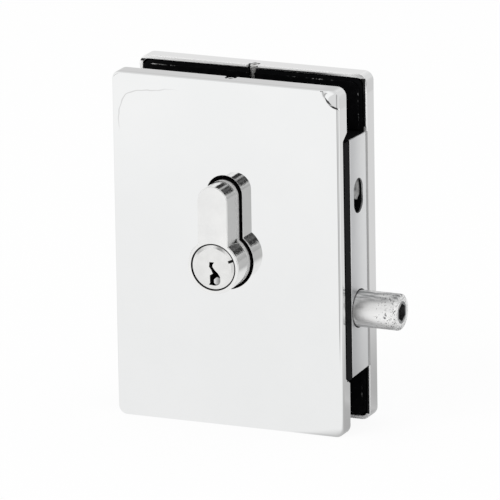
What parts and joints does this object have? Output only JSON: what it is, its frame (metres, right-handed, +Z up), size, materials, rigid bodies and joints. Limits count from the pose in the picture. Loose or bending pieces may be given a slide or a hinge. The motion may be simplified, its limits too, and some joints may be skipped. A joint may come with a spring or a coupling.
{
  "type": "centre patch lock for a glass door",
  "caption": "Centre patch lock for a frameless glass door: two polished clamp covers, a slim case with a round dead bolt, and a double profile cylinder.",
  "frame": {"origin": "middle of the glass slot's thickness, at the middle of the covers", "axes": "+X out of the door's edge along the bolt, +Y through the glass away from the front, +Z up"},
  "size_m": [0.09, 0.046, 0.11],
  "materials": {
    "polished_steel": "mirror-polished stainless sheet",
    "black_casting": "black coated die casting",
    "black_rubber": "smooth black rubber",
    "satin_aluminium": "satin",
    "blasted_steel": "zinc-plated, mottled",
    "hardened_steel": "ground, plain",
    "nickel_plate": "polished nickel plate",
    "brass_pin": "turned",
    "zinc_screw": "bright zinc plate",
    "dark_screw": "blackened"
  },
  "bodies": {
    "lock": {"front_cover": "polished_steel", "rear_cover": "polished_steel", "front_clamp_plate": "black_casting", "rear_clamp_plate": "black_casting", "front_gasket": "black_rubber", "rear_gasket": "black_rubber", "lock_case": "satin_aluminium", "bolt_guide_pin": "hardened_steel", "detent_body": "hardened_steel", "detent_ball": "hardened_steel", "detent_spring": "hardened_steel", "cylinder_body": "nickel_plate", "front_driver_pins": "brass_pin", "rear_driver_pins": "brass_pin", "front_pin_springs": "hardened_steel", "rear_pin_springs": "hardened_steel", "front_pin_caps": "brass_pin", "rear_pin_caps": "brass_pin", "cylinder_screw": "zinc_screw", "clamp_screws": "zinc_screw", "case_screws": "zinc_screw", "front_grub_screws": "dark_screw", "rear_grub_screws": "dark_screw"},
    "bolt": {"dead_bolt": "blasted_steel", "bolt_core": "hardened_steel"},
    "front_key_plug": {"front_plug": "nickel_plate", "front_plug_clip": "hardened_steel", "front_key_pins": "brass_pin"},
    "rear_key_plug": {"rear_plug": "nickel_plate", "rear_plug_clip": "hardened_steel", "rear_key_pins": "brass_pin"},
    "cam_and_clutch": {"cam": "hardened_steel", "clutch": "hardened_steel"}
  },
  "joints": [
    {"name": "bolt_slide", "type": "slide", "parent": "lock", "child": "bolt", "axis": [1, 0, 0], "range_m": [-0.014, 0]},
    {"name": "front_plug_turn", "type": "hinge", "parent": "lock", "child": "front_key_plug", "pos_m": [-0.0008, 0, -0.0018], "axis": [0, 1, 0], "range_deg": [0, 68]},
    {"name": "cam_turn", "type": "hinge", "parent": "lock", "child": "cam_and_clutch", "pos_m": [-0.0008, 0, -0.0018], "axis": [0, 1, 0], "range_deg": [0, 68]},
    {"name": "rear_plug_turn", "type": "hinge", "parent": "lock", "child": "rear_key_plug", "pos_m": [-0.0008, 0, -0.0018], "axis": [0, 1, 0], "continuous": true}
  ],
  "couplings": [
    {"joint": "front_plug_turn", "follows": "bolt_slide", "rad_per_m": -84.77},
    {"joint": "cam_turn", "follows": "bolt_slide", "rad_per_m": -84.77}
  ]
}
